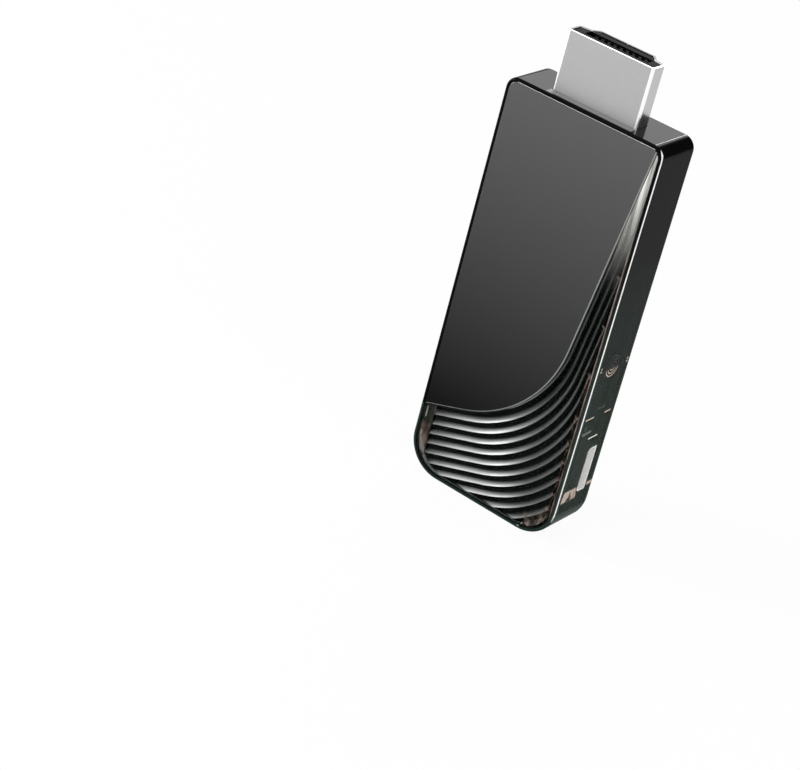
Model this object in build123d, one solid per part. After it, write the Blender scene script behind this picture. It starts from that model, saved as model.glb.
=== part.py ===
from build123d import *
import math
import os

# Housing outline, standing on its far end: X across, Y front to back, Z toward the plug
body_width = 25.8
body_length = 62.0
body_depth = 8.4
far_corner_radius = 5.5
plug_corner_radius = 1.8
edge_radius = 0.4
least_corner_radius = 0.3

# Housing walls and the sheets let into them
wall = 1.2
rim = 0.5
sheet_thickness = 0.8
sheet_gap = 0.05
sheet_bevel = 0.12
rim_land = 0.05
inner_gap = 0.1
ledge_width = 1.5
ledge_thickness = 0.4

# Dividing line between the satin cover and the smoked window
divide_left_height = 10.3
divide_left_slope = 18.2
divide_top_inset = 1.0
divide_top_slope = 82.7
divide_bend_radius = 20.2

# Tenon that joins the two side frames in the left wall
tenon_thickness = 0.5
tenon_width = 3.0
tenon_length = 1.5
tenon_gap = 0.03

# Wave relief behind the front window
rib_count = 12
rib_lead = 0.28
rib_step_across = 0.8
rib_step_down = 1.36
rib_height = 0.55
rib_crest_share = 0.9
rib_facets = 4
rib_crest_gap = 0.05
relief_base = 0.3
relief_lap = 1.0
relief_lap_reach = 0.15
edge_tooth_depth = 0.6
strip_width = 3.0
strip_thickness = 0.4

# Display plug
plug_width = 13.9
plug_depth = 4.45
plug_narrow_width = 8.9
plug_side_depth = 2.93
plug_ledge_depth = 3.35
plug_ledge_width = 10.4
plug_exposed = 8.7
plug_inside = 4.8
plug_front_setback = 2.0
plug_sheet = 0.3
plug_corner = 0.45
plug_wall_gap = 0.05
plug_insert_gap = 0.04
plug_insert_setback = 0.1
plug_cavity_width = 10.2
plug_cavity_height = 1.6
plug_cavity_front = 1.25
plug_cavity_length = 6.8
plug_leg_length = 2.6
plug_leg_width = 1.6
seam_width = 0.12
seam_tab_length = 1.5
seam_tab_depth = 0.7
seam_tab_flare = 0.2
seam_tab_heights = (1.0, 5.6)
plug_pin_count = 10
plug_pin_pitch = 1.0
plug_pin_width = 0.45
plug_pin_thickness = 0.2
plug_pin_tail = 1.8
plug_pin_bend = 0.4
plug_pin_setback = 0.3

# Circuit board
board_thickness = 0.8
board_centre = -0.25
board_edge_gap = 0.4
board_notch_gap = 0.15
lug_reach = 2.1
lug_radius = 1.5
lug_front = 2.4
far_lug_height = 5.0
plug_lug_drop = 7.6
screw_diameter = 1.2
screw_head_diameter = 2.2
screw_head_height = 0.6
screw_length = 1.9
screw_gap = 0.05
screw_slot_width = 0.35
screw_slot_depth = 0.3

# Power port in the far end
power_port_width = 8.34
power_port_height = 2.5
power_port_centre = -0.6
power_port_length = 6.6
power_port_sheet = 0.3
power_slot_margin = 0.05
power_tongue_width = 6.6
power_tongue_thickness = 0.7
power_tongue_setback = 0.8
power_block_length = 1.6
power_pin_count = 12
power_pin_pitch = 0.5
power_pin_width = 0.24
power_pin_thickness = 0.06
power_pin_setback = 1.6
power_wing_length = 2.2
power_wing_reach = 1.3

# Small port in the right wall
side_port_width = 6.9
side_port_height = 1.8
side_port_corner = 0.5
side_port_height_along = 11.15
side_port_length = 6.0
side_port_recess = 0.1
side_port_sheet = 0.2
side_tongue_width = 4.4
side_tongue_thickness = 0.5
side_tongue_setback = 0.7
side_block_length = 1.4
side_pin_count = 5
side_pin_pitch = 0.65
side_pin_width = 0.3
side_pin_thickness = 0.1
side_pin_setback = 1.4
port_wall_gap = 0.05

# Mode button in the right wall and its switch
button_height = 28.3
button_diameter = 3.8
button_gap = 0.06
button_recess = 0.05
button_flange_diameter = 4.4
button_flange_thickness = 0.5
button_flange_gap = 0.02
button_groove_radii = (0.55, 1.05, 1.5)
button_groove_width = 0.16
button_groove_depth = 0.12
button_travel = 0.3
button_free_gap = 0.2
plunger_diameter = 1.0
plunger_gap = 0.06
plunger_seat = 0.6
switch_length = 2.0
switch_width = 3.6
switch_depth = 1.8
switch_tab = 0.8
switch_tab_thickness = 0.2

# Chips and small parts: width, height along Z, thickness, centre across, centre along Z
processor_size = (12.0, 12.0, 1.1)
processor_place = (-1.5, 37.0)
memory_size = (9.0, 11.0, 1.0)
memory_place = (-1.5, 37.0)
flash_size = (6.0, 5.0, 0.8)
flash_place = (-6.0, 25.0)
power_chip_size = (4.0, 4.0, 0.8)
power_chip_place = (-4.0, 22.0)
inductor_size = (4.0, 4.0, 1.8)
inductor_place = (1.5, 22.0)
crystal_size = (3.2, 2.5, 0.8)
crystal_edge_distance = 4.8
crystal_height = 37.0
radio_shield_size = (10.0, 9.0, 1.6)
radio_shield_place = (-4.5, 14.5)
radio_chip_size = (5.0, 5.0, 0.8)
chip_bevel = 0.15
shield_sheet = 0.2
capacitor_size = (0.8, 1.6, 0.8)
capacitor_row = (-7.0, 48.0)
capacitor_count = 6
capacitor_pitch = 2.4
resistor_size = (0.5, 1.0, 0.35)
resistor_row = (-7.0, 29.0)
resistor_count = 6
resistor_pitch = 1.6
spreader_size = (14.0, 20.0, 0.7)
spreader_corner = 1.4
pad_size = (11.0, 11.0)
antenna_sheet = 0.2
antenna_height = 1.6
antenna_bottom = 7.2
antenna_length = 7.0
antenna_leg = 0.6
antenna_leg_pitch = 1.8
antenna_edge_gap = 0.35
led_size = (1.4, 1.6, 0.7)
led_height = 16.6
diffuser_width = 2.3
diffuser_height = 0.4
diffuser_centre = 0.45
diffuser_gap = 0.05
wall_rib_height = 20.3
wall_rib_length = 1.2
wall_rib_thickness = 0.4
wall_rib_reach = 0.35

half_width = body_width / 2
half_depth = body_depth / 2
inner_half_width = half_width - wall
sheet_inner = half_depth - sheet_thickness
relief_floor = -sheet_inner + rib_crest_gap + rib_height
relief_back = relief_floor + relief_base
board_front = board_centre - board_thickness / 2
board_back = board_centre + board_thickness / 2
board_bottom = wall + board_edge_gap
board_top = body_length - plug_inside - board_notch_gap
board_half_width = inner_half_width - board_edge_gap
plug_front = -half_depth + plug_front_setback
plug_tip = body_length + plug_exposed
plug_rear = body_length - plug_inside
lug_centre = inner_half_width - lug_reach
plug_lug_height = body_length - plug_lug_drop
side_port_mouth = half_width - side_port_recess
relief_left_inset = rim + ledge_width + inner_gap
relief_right_inset = wall + inner_gap
relief_far_inset = rim + inner_gap
side_port_centre = board_back + side_port_sheet + side_port_height / 2


def slab(face, y_front, y_back):
    """Extrude a face drawn in X and Z from y_front back to y_back."""
    return extrude(Plane.XZ.offset(-y_back) * face, amount=y_back - y_front)


def block(width, height, thickness, across, along, y_front):
    """Box of the given size with its front face at y_front."""
    face = Pos(across, along) * Rectangle(width, height)
    return slab(face, y_front, y_front + thickness)


def outline(inset):
    """Housing outline, moved in by inset all round."""
    face = Rectangle(body_width - 2 * inset, body_length - 2 * inset)
    face = Pos(0, body_length / 2) * face
    rows = face.vertices().group_by(Axis.Y)
    face = fillet(rows[0], max(far_corner_radius - inset, least_corner_radius))
    top_radius = max(plug_corner_radius - inset, least_corner_radius)
    return fillet(face.vertices().group_by(Axis.Y)[-1], top_radius)


def divide_points(shift):
    """Start, bend and end of the dividing line, moved by shift toward the window."""
    low = math.radians(divide_left_slope)
    high = math.radians(divide_top_slope)
    low_x = -half_width + shift * math.sin(low)
    low_z = divide_left_height - shift * math.cos(low)
    high_x = half_width - divide_top_inset + shift * math.sin(high)
    high_z = body_length - shift * math.cos(high)
    gap_x = high_x - low_x
    gap_z = high_z - low_z
    reach = (gap_x * math.sin(high) - gap_z * math.cos(high)) / math.sin(high - low)
    bend = (low_x + reach * math.cos(low), low_z + reach * math.sin(low))
    start = (low_x - body_width * math.cos(low), low_z - body_width * math.sin(low))
    end = (high_x + body_width * math.cos(high), high_z + body_width * math.sin(high))
    return start, bend, end


def relief_outline(gap=0.0):
    """Area of the wave relief: between the left ledge and the right wall, and out over the far wall."""
    left = relief_left_inset - gap - half_width
    right = half_width - relief_right_inset + gap
    height = body_length - relief_left_inset + gap
    span = Pos((left + right) / 2, height / 2) * Rectangle(right - left, height)
    return outline(relief_far_inset - gap) & span


def cover_side(shift=0.0):
    """Area on the cover's side of the dividing line."""
    start, bend, end = divide_points(shift)
    face = make_face(Polyline(start, bend, end, (start[0], end[1]), close=True))
    corner = face.vertices().sort_by_distance(bend + (0,))[0]
    return fillet(corner, divide_bend_radius + shift)


def divide_height(across):
    """Height of the dividing line at a place across the width."""
    low = math.radians(divide_left_slope)
    high = math.radians(divide_top_slope)
    _, bend, _ = divide_points(0)
    tangent = divide_bend_radius * math.tan((high - low) / 2)
    low_x = bend[0] - tangent * math.cos(low)
    low_z = bend[1] - tangent * math.sin(low)
    high_x = bend[0] + tangent * math.cos(high)
    if across < low_x:
        return low_z + (across - low_x) * math.tan(low)
    if across > high_x:
        return bend[1] + (across - bend[0]) * math.tan(high)
    centre_x = low_x - divide_bend_radius * math.sin(low)
    centre_z = low_z + divide_bend_radius * math.cos(low)
    return centre_z - math.sqrt(divide_bend_radius ** 2 - (across - centre_x) ** 2)


def power_port_face(margin):
    """Power port's round-ended opening in X and Y, grown by margin."""
    face = SlotOverall(power_port_width + 2 * margin, power_port_height + 2 * margin)
    return Pos(0, power_port_centre) * face


def side_port_face(margin):
    """Side port's opening in Y and Z, with two bevelled corners toward the board."""
    half_z = side_port_width / 2 + margin
    half_y = side_port_height / 2 + margin
    face = make_face(Polyline(
        (-half_y, -half_z + side_port_corner),
        (-half_y, half_z - side_port_corner),
        (-half_y + side_port_corner, half_z),
        (half_y, half_z),
        (half_y, -half_z),
        (-half_y + side_port_corner, -half_z),
        close=True,
    ))
    return Pos(side_port_centre, side_port_height_along) * face


def along_x(face, x_left, x_right):
    """Extrude a face drawn in Y and Z from x_left to x_right."""
    return extrude(Plane.YZ.offset(x_left) * face, amount=x_right - x_left)


def along_z(face, z_bottom, z_top):
    """Extrude a face drawn in X and Y from z_bottom to z_top."""
    return extrude(Plane.XY.offset(z_bottom) * face, amount=z_top - z_bottom)


def plug_face(inset=0.0):
    """Section of the display plug: wide face in front, narrow face behind."""
    half = plug_width / 2
    face = make_face(Polyline(
        (-half, 0),
        (half, 0),
        (half, plug_side_depth),
        (plug_ledge_width / 2, plug_ledge_depth),
        (plug_narrow_width / 2, plug_depth),
        (-plug_narrow_width / 2, plug_depth),
        (-plug_ledge_width / 2, plug_ledge_depth),
        (-half, plug_side_depth),
        close=True,
    ))
    face = fillet(face.vertices(), plug_corner)
    if inset:
        face = offset(face, -inset)
    return Pos(0, plug_front) * face


def frame_ring():
    """Side wall all round, rebated for the sheets, with a ledge for the front ones and the relief's pocket."""
    ring = slab(outline(0), -half_depth, half_depth)
    ends = ring.edges().group_by(Axis.Y)
    ring = fillet(ends[0] + ends[-1], min(edge_radius, rim - rim_land))
    ring -= slab(outline(wall), -half_depth, half_depth)
    ring -= slab(outline(rim), -half_depth, -sheet_inner)
    ring -= slab(outline(rim), sheet_inner, half_depth)
    ledge = outline(rim) - outline(rim + ledge_width)
    ring += slab(ledge, -sheet_inner, ledge_thickness - sheet_inner)
    return ring - slab(relief_outline(sheet_gap), -sheet_inner, relief_back + sheet_gap)


def lug(side, height):
    """Screw lug that reaches in from a side wall and carries the board."""
    length = lug_reach + wall / 2
    arm = Pos(side * (lug_centre + length / 2), height) * Rectangle(length, 2 * lug_radius)
    eye = Pos(side * lug_centre, height) * Circle(lug_radius)
    hole = Pos(side * lug_centre, height) * Circle(screw_diameter / 2 + screw_gap)
    return slab(arm + eye - hole, -lug_front, board_front)


def tenon(gap):
    """Tongue in the left wall at the joint between the two frames."""
    height = 2 * (tenon_length + gap)
    across = -half_width + wall / 2
    width = tenon_width + 2 * gap
    return block(tenon_thickness + 2 * gap, height, width, across, divide_left_height, -width / 2)


def frame_black():
    """Opaque side frame: left wall and the wall that the plug comes through."""
    frame = frame_ring() & slab(cover_side(), -half_depth, half_depth)
    frame += tenon(0)
    frame += lug(-1, plug_lug_height)
    opening = offset(plug_face(), plug_wall_gap)
    return frame - along_z(opening, plug_rear, plug_tip)


def frame_smoke():
    """Clear smoked side frame: far end, right wall and the lower part of the left wall."""
    frame = frame_ring() - slab(cover_side(), -half_depth, half_depth)
    frame -= tenon(tenon_gap)
    for side, height in ((-1, far_lug_height), (1, far_lug_height), (1, plug_lug_height)):
        frame += lug(side, height)
    frame -= along_z(power_port_face(power_slot_margin), 0, wall)
    frame -= along_x(side_port_face(side_port_sheet + port_wall_gap), inner_half_width, half_width)
    hole = Pos(board_centre, button_height) * Circle(button_diameter / 2)
    frame -= along_x(hole, inner_half_width, half_width)
    rib_x = inner_half_width - wall_rib_reach / 2
    rib_end = sheet_inner - ledge_thickness
    for y_front in (relief_back + sheet_gap, rib_end - wall_rib_length):
        frame += block(wall_rib_reach, wall_rib_thickness, wall_rib_length, rib_x,
                       wall_rib_height, y_front)
    teeth = edge_teeth(inner_half_width) - cover_side(strip_width / 2 + inner_gap)
    return frame + slab(teeth, rib_end, sheet_inner)


def bevelled(sheet, y_face):
    """Take the sharp edge off a sheet's outer face."""
    faces = sheet.faces().filter_by(Axis.Y).sort_by(Axis.Y)
    outer = faces[0] if y_face < 0 else faces[-1]
    return chamfer(outer.edges(), sheet_bevel)


def cover(y_front, y_back):
    """Satin cover sheet on the plug's side of the dividing line."""
    face = outline(rim + sheet_gap) & cover_side(-sheet_gap / 2)
    return bevelled(slab(face, y_front, y_back), y_front + y_back)


def window(y_front, y_back):
    """Clear smoked sheet on the far side of the dividing line."""
    face = outline(rim + sheet_gap) - cover_side(sheet_gap / 2)
    return bevelled(slab(face, y_front, y_back), y_front + y_back)


def wave_profile():
    """Outline of the relief's section: steps along the pattern, and height over its floor."""
    lap_height = rib_height + rib_crest_gap
    points = [(-relief_lap, -relief_base), (-relief_lap, lap_height), (relief_lap_reach, lap_height)]
    for rib in range(rib_count):
        start = rib + rib_lead if rib else relief_lap_reach
        run = rib + rib_lead + rib_crest_share - start
        for facet in range(rib_facets + 1):
            share = facet / rib_facets
            points.append((start + share * run, rib_height * share ** 2))
    end = rib_count + rib_lead
    return points + [(end, 0), (end, -relief_base)]


def wave_point(point, wave):
    """Place of a profile point on the section that starts at a point of the dividing line."""
    along, height = wave
    across = point[0] + rib_step_across * along
    return Vector(across, relief_floor - height, point[1] - rib_step_down * along)


def edge_teeth(edge):
    """Saw-tooth strip down the right wall, with one tooth where each wave runs out."""
    ends = [rib + rib_lead for rib in range(1, rib_count)]
    heights = [divide_height(edge - end * rib_step_across) - end * rib_step_down for end in ends]
    teeth = Sketch()
    for low, high in zip(heights[1:], heights[:-1]):
        tooth = Polyline((edge + wall / 2, low), (edge - edge_tooth_depth, low), (edge, high),
                         (edge + wall / 2, high), close=True)
        teeth += make_face(tooth)
    return teeth


def wave_panel():
    """Relief behind the front window: the dividing line, carried down a profile of breaking waves."""
    start, bend, end = divide_points(0)
    path = Plane.XZ * FilletPolyline(start, bend, end, radius=divide_bend_radius)
    profile = wave_profile()
    faces = [
        Face(Wire.make_polygon([wave_point(tip, wave) for wave in profile], close=True))
        for tip in (start, end)
    ]
    for wave, following in zip(profile, profile[1:] + profile[:1]):
        place = wave_point((0, 0), wave)
        move = wave_point((0, 0), following) - place
        faces += [Face.extrude(Pos(*place) * edge, move) for edge in path.edges()]
    relief = Solid(Shell(faces)) & slab(relief_outline(), -half_depth, half_depth)
    return relief - slab(edge_teeth(half_width - relief_right_inset), -half_depth, half_depth)


def back_strip():
    """Strip behind the back cover and window that ties them along the dividing line."""
    face = cover_side(strip_width / 2) - cover_side(-strip_width / 2)
    face &= outline(wall + inner_gap)
    return slab(face, sheet_inner - strip_thickness, sheet_inner)


def seam():
    """Zigzag joint of the folded plug shell, with two dovetail tabs."""
    points = [(0, plug_rear - plug_sheet)]
    for height in seam_tab_heights:
        low = body_length + height
        high = low + seam_tab_length
        points += [
            (0, low),
            (seam_tab_depth, low - seam_tab_flare),
            (seam_tab_depth, high + seam_tab_flare),
            (0, high),
        ]
    points.append((0, plug_tip + plug_sheet))
    line = trace(Polyline(*points), line_width=seam_width)
    return slab(line, plug_front + plug_ledge_depth, plug_front + plug_depth + plug_sheet)


def plug_shell():
    """Folded steel shell of the display plug, with two legs into the board."""
    shell = along_z(plug_face() - plug_face(plug_sheet), plug_rear, plug_tip)
    shell -= seam()
    for side in (-1, 1):
        across = side * (plug_width - plug_sheet) / 2
        centre = plug_rear - plug_leg_length / 2 + plug_sheet
        leg_front = board_centre - plug_leg_width / 2
        shell += block(plug_sheet, plug_leg_length + plug_sheet, plug_leg_width, across, centre, leg_front)
    return shell


def plug_pins(count, y_contact, y_board, toward):
    """Row of contacts: straight in the plug, then stepped onto the board."""
    tip = plug_tip - plug_insert_setback - plug_pin_setback
    step = plug_rear - plug_pin_bend
    foot = board_top - plug_pin_tail
    thick = toward * plug_pin_thickness
    side = make_face(Polyline(
        (y_contact, tip),
        (y_contact, plug_rear),
        (y_board, step),
        (y_board, foot),
        (y_board + thick, foot),
        (y_board + thick, step),
        (y_contact + thick, plug_rear),
        (y_contact + thick, tip),
        close=True,
    ))
    pins = Part()
    for index in range(count):
        across = (index - (count - 1) / 2) * plug_pin_pitch
        pins += along_x(side, across - plug_pin_width / 2, across + plug_pin_width / 2)
    return pins


def plug_front_pins():
    """Ten contacts on the front wall of the plug's mouth."""
    return plug_pins(plug_pin_count, plug_front + plug_cavity_front, board_front, -1)


def plug_back_pins():
    """Nine contacts on the back wall of the plug's mouth."""
    wall_y = plug_front + plug_cavity_front + plug_cavity_height
    return plug_pins(plug_pin_count - 1, wall_y, board_back, 1)


def plug_insert():
    """Black block inside the plug, with the mouth and a groove for each contact."""
    top = plug_tip - plug_insert_setback
    insert = along_z(plug_face(plug_sheet + plug_insert_gap), plug_rear, top)
    mouth_front = plug_front + plug_cavity_front
    insert -= block(plug_cavity_width, 2 * plug_cavity_length, plug_cavity_height, 0, top, mouth_front)
    insert -= plug_front_pins()
    insert -= plug_back_pins()
    return insert


def main_board():
    """Circuit board with notches for both ports, the switch and the plug's legs."""
    face = outline(wall + board_edge_gap)
    face -= Pos(0, body_length) * Rectangle(body_width, 2 * (body_length - board_top))
    notch = power_port_width + 2 * power_port_sheet + 2 * board_notch_gap
    notch_top = wall + port_wall_gap + power_port_length + board_notch_gap
    face -= Rectangle(notch, 2 * notch_top)
    flange_x = inner_half_width - button_flange_thickness - button_travel - board_notch_gap
    flange_span = button_flange_diameter + 2 * board_notch_gap
    face -= Pos(half_width, button_height) * Rectangle(2 * (half_width - flange_x), flange_span)
    switch_x = switch_face() - switch_length - board_notch_gap
    switch_span = switch_width + 2 * board_notch_gap
    face -= Pos(half_width, button_height) * Rectangle(2 * (half_width - switch_x), switch_span)
    for side in (-1, 1):
        leg_width = plug_sheet + 2 * board_notch_gap
        leg_depth = 2 * (plug_leg_length + board_notch_gap)
        across = side * (plug_width - plug_sheet) / 2
        face -= Pos(across, board_top) * Rectangle(leg_width, leg_depth)
        for height in (far_lug_height, plug_lug_height):
            face -= Pos(side * lug_centre, height) * Circle(screw_diameter / 2 + screw_gap)
    return slab(face, board_front, board_back)


def board_screws():
    """Four screws, put in from the back, that hold the board on its lugs."""
    screws = Part()
    for side in (-1, 1):
        for height in (far_lug_height, plug_lug_height):
            place = Pos(side * lug_centre, height)
            shank = slab(place * Circle(screw_diameter / 2), board_back - screw_length, board_back)
            head = slab(place * Circle(screw_head_diameter / 2), board_back,
                        board_back + screw_head_height)
            head_top = board_back + screw_head_height
            slot = block(screw_head_diameter, screw_slot_width, screw_slot_depth,
                         side * lug_centre, height, head_top - screw_slot_depth)
            screws += shank + head - slot
    return screws


def power_shell():
    """Steel shell of the power port, sunk in the board on two wings."""
    bottom = wall + port_wall_gap
    ring = power_port_face(power_port_sheet) - power_port_face(0)
    shell = along_z(ring, bottom, bottom + power_port_length)
    half = power_port_width / 2 + power_port_sheet
    for side in (-1, 1):
        across = side * (half - power_port_sheet / 2 + power_wing_reach / 2)
        shell += block(power_wing_reach + power_port_sheet / 2, power_wing_length, power_port_sheet,
                       across, bottom + power_port_length / 2, board_front - power_port_sheet)
    return shell


def power_insert():
    """Black block at the back of the power port, with its tongue."""
    bottom = wall + port_wall_gap
    top = bottom + power_port_length
    insert = along_z(power_port_face(-plug_insert_gap), top - power_block_length, top)
    tongue_bottom = bottom + power_tongue_setback
    height = top - tongue_bottom
    front = power_port_centre - power_tongue_thickness / 2
    insert += block(power_tongue_width, height, power_tongue_thickness, 0,
                    tongue_bottom + height / 2, front)
    return insert


def power_pins():
    """Two rows of contacts on the power port's tongue."""
    bottom = wall + port_wall_gap + power_pin_setback
    top = wall + port_wall_gap + power_port_length - power_block_length
    pins = Part()
    for index in range(power_pin_count):
        across = (index - (power_pin_count - 1) / 2) * power_pin_pitch
        for side in (-1, 1):
            surface = power_port_centre + side * power_tongue_thickness / 2
            front = min(surface, surface + side * power_pin_thickness)
            pins += block(power_pin_width, top - bottom, power_pin_thickness, across,
                          (top + bottom) / 2, front)
    return pins


def side_shell():
    """Steel shell of the side port, on the back of the board and through the wall."""
    ring = side_port_face(side_port_sheet) - side_port_face(0)
    return along_x(ring, side_port_mouth - side_port_length, side_port_mouth)


def side_insert():
    """Pale block at the back of the side port, with its tongue."""
    left = side_port_mouth - side_port_length
    insert = along_x(side_port_face(-plug_insert_gap), left, left + side_block_length)
    tongue = Rectangle(side_tongue_thickness, side_tongue_width)
    tongue = Pos(side_port_centre, side_port_height_along) * tongue
    return insert + along_x(tongue, left, side_port_mouth - side_tongue_setback)


def side_pins():
    """Five contacts on the side port's tongue."""
    left = side_port_mouth - side_port_length + side_block_length
    right = side_port_mouth - side_pin_setback
    y_centre = side_port_centre - side_tongue_thickness / 2 - side_pin_thickness / 2
    pins = Part()
    for index in range(side_pin_count):
        along = side_port_height_along + (index - (side_pin_count - 1) / 2) * side_pin_pitch
        pin = Pos(y_centre, along) * Rectangle(side_pin_thickness, side_pin_width)
        pins += along_x(pin, left, right)
    return pins


def flange_inner():
    """Inner face of the button's flange at rest."""
    return inner_half_width - button_flange_gap - button_flange_thickness


def switch_face():
    """Outer face of the switch body, clear of the pressed flange."""
    return flange_inner() - button_travel - button_free_gap


def button_disc(radius, x_left, x_right):
    """Disc on the button's axis."""
    return along_x(Pos(board_centre, button_height) * Circle(radius), x_left, x_right)


def mode_button():
    """Round push button in the right wall, with ring grooves and a flange that keeps it in."""
    outer = half_width - button_recess
    button = button_disc(button_diameter / 2 - button_gap, flange_inner(), outer)
    button += button_disc(button_flange_diameter / 2, flange_inner(),
                          flange_inner() + button_flange_thickness)
    for radius in button_groove_radii:
        groove = button_disc(radius + button_groove_width / 2, outer - button_groove_depth, outer)
        groove -= button_disc(radius - button_groove_width / 2, outer - button_groove_depth, outer)
        button -= groove
    return button


def switch_plunger():
    """Plunger of the switch, which the button pushes."""
    return button_disc(plunger_diameter / 2, switch_face() - plunger_seat, flange_inner())


def switch_body():
    """Body of the switch, in a notch of the board and soldered by two tabs."""
    face = switch_face()
    centre_x = face - switch_length / 2
    body = block(switch_length, switch_width, switch_depth, centre_x, button_height,
                 board_centre - switch_depth / 2)
    body += block(switch_length / 2, switch_width + 2 * switch_tab, switch_tab_thickness,
                  centre_x, button_height, board_front - switch_tab_thickness)
    bore_depth = plunger_seat + button_travel + plunger_gap
    return body - button_disc(plunger_diameter / 2 + plunger_gap, face - bore_depth, face)


def chip(size, place, front):
    """Moulded chip, bevelled on its free face; front says which side of the board."""
    width, height, thickness = size
    y_front = board_front - thickness if front else board_back
    body = block(width, height, thickness, place[0], place[1], y_front)
    faces = body.faces().sort_by(Axis.Y)
    free = faces[0] if front else faces[-1]
    return chamfer(free.edges(), chip_bevel)


def radio_shield():
    """Drawn metal can over the radio chip, open toward the board."""
    width, height, thickness = radio_shield_size
    can = chip(radio_shield_size, radio_shield_place, True)
    inside = block(width - 2 * shield_sheet, height - 2 * shield_sheet, thickness - shield_sheet,
                   radio_shield_place[0], radio_shield_place[1],
                   board_front - thickness + shield_sheet)
    return can - inside


def row_of(size, start, count, pitch):
    """Row of small parts on the back of the board."""
    parts = Part()
    for index in range(count):
        parts += block(size[0], size[1], size[2], start[0] + index * pitch, start[1], board_back)
    return parts


def heat_spreader():
    """Metal plate bonded inside the back cover."""
    width, height, thickness = spreader_size
    plate = Pos(*processor_place) * RectangleRounded(width, height, spreader_corner)
    return slab(plate, sheet_inner - thickness, sheet_inner)


def heat_pad():
    """Soft pad between the processor and the spreader."""
    front = board_back + processor_size[2]
    thickness = sheet_inner - spreader_size[2] - front
    return block(pad_size[0], pad_size[1], thickness, processor_place[0], processor_place[1], front)


def antenna():
    """Stamped antenna on edge, on two legs at the board's left edge."""
    top = board_back + antenna_height
    end = antenna_bottom + antenna_length
    second_leg = antenna_bottom + antenna_leg_pitch
    side = make_face(Polyline(
        (board_back, antenna_bottom),
        (top, antenna_bottom),
        (top, end),
        (top - antenna_leg, end),
        (top - antenna_leg, second_leg + antenna_leg),
        (board_back, second_leg + antenna_leg),
        (board_back, second_leg),
        (top - antenna_leg, second_leg),
        (top - antenna_leg, antenna_bottom + antenna_leg),
        (board_back, antenna_bottom + antenna_leg),
        close=True,
    ))
    across = -board_half_width + antenna_edge_gap
    return along_x(side, across, across + antenna_sheet)


def status_led():
    """Side-firing light on the back of the board's right edge."""
    across = board_half_width - led_size[0] / 2
    return block(led_size[0], led_size[1], led_size[2], across, led_height, board_back)


def led_diffuser():
    """Pale bar between the board's edge and the clear wall."""
    left = board_half_width + diffuser_gap
    right = inner_half_width - diffuser_gap
    return block(right - left, diffuser_height, diffuser_width, (left + right) / 2, led_height,
                 diffuser_centre - diffuser_width / 2)


nodes = {
    "frame_black": frame_black(),
    "frame_smoke": frame_smoke(),
    "front_cover": cover(-half_depth, -sheet_inner),
    "front_window": window(-half_depth, -sheet_inner),
    "wave_panel": wave_panel(),
    "back_cover": cover(sheet_inner, half_depth),
    "back_window": window(sheet_inner, half_depth),
    "back_strip": back_strip(),
    "plug_shell": plug_shell(),
    "plug_insert": plug_insert(),
    "plug_front_pins": plug_front_pins(),
    "plug_back_pins": plug_back_pins(),
    "main_board": main_board(),
    "board_screws": board_screws(),
    "processor": chip(processor_size, processor_place, False),
    "memory_chip": chip(memory_size, memory_place, True),
    "flash_chip": chip(flash_size, flash_place, True),
    "power_chip": chip(power_chip_size, power_chip_place, False),
    "power_inductor": chip(inductor_size, inductor_place, False),
    "crystal": chip(crystal_size, (board_half_width - crystal_edge_distance, crystal_height), True),
    "radio_shield": radio_shield(),
    "radio_chip": chip(radio_chip_size, radio_shield_place, True),
    "capacitors": row_of(capacitor_size, capacitor_row, capacitor_count, capacitor_pitch),
    "resistors": row_of(resistor_size, resistor_row, resistor_count, resistor_pitch),
    "heat_spreader": heat_spreader(),
    "heat_pad": heat_pad(),
    "antenna": antenna(),
    "status_led": status_led(),
    "led_diffuser": led_diffuser(),
    "power_port_shell": power_shell(),
    "power_port_insert": power_insert(),
    "power_port_pins": power_pins(),
    "side_port_shell": side_shell(),
    "side_port_insert": side_insert(),
    "side_port_pins": side_pins(),
    "mode_button": mode_button(),
    "switch_plunger": switch_plunger(),
    "switch_body": switch_body(),
}

os.makedirs("parts", exist_ok=True)
for name, shape in nodes.items():
    export_step(shape, "parts/" + name + ".step")
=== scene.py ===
import bmesh
import bpy
import numpy as np
from mathutils import Matrix, Vector


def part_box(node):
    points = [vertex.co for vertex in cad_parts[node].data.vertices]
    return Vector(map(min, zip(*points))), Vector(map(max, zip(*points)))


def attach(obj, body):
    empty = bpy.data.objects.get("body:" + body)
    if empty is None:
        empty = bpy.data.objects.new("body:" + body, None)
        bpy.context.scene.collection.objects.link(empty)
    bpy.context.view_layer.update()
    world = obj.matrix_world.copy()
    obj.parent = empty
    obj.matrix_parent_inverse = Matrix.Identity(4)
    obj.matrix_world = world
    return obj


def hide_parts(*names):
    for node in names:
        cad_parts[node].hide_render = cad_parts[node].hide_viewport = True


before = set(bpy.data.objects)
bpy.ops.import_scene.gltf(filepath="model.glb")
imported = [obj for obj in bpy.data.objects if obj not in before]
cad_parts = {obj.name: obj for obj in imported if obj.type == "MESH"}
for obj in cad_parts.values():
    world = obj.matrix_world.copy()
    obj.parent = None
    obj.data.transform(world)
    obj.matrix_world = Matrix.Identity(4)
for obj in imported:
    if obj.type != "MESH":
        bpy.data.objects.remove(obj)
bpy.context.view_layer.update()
MM = 0.001

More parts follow.
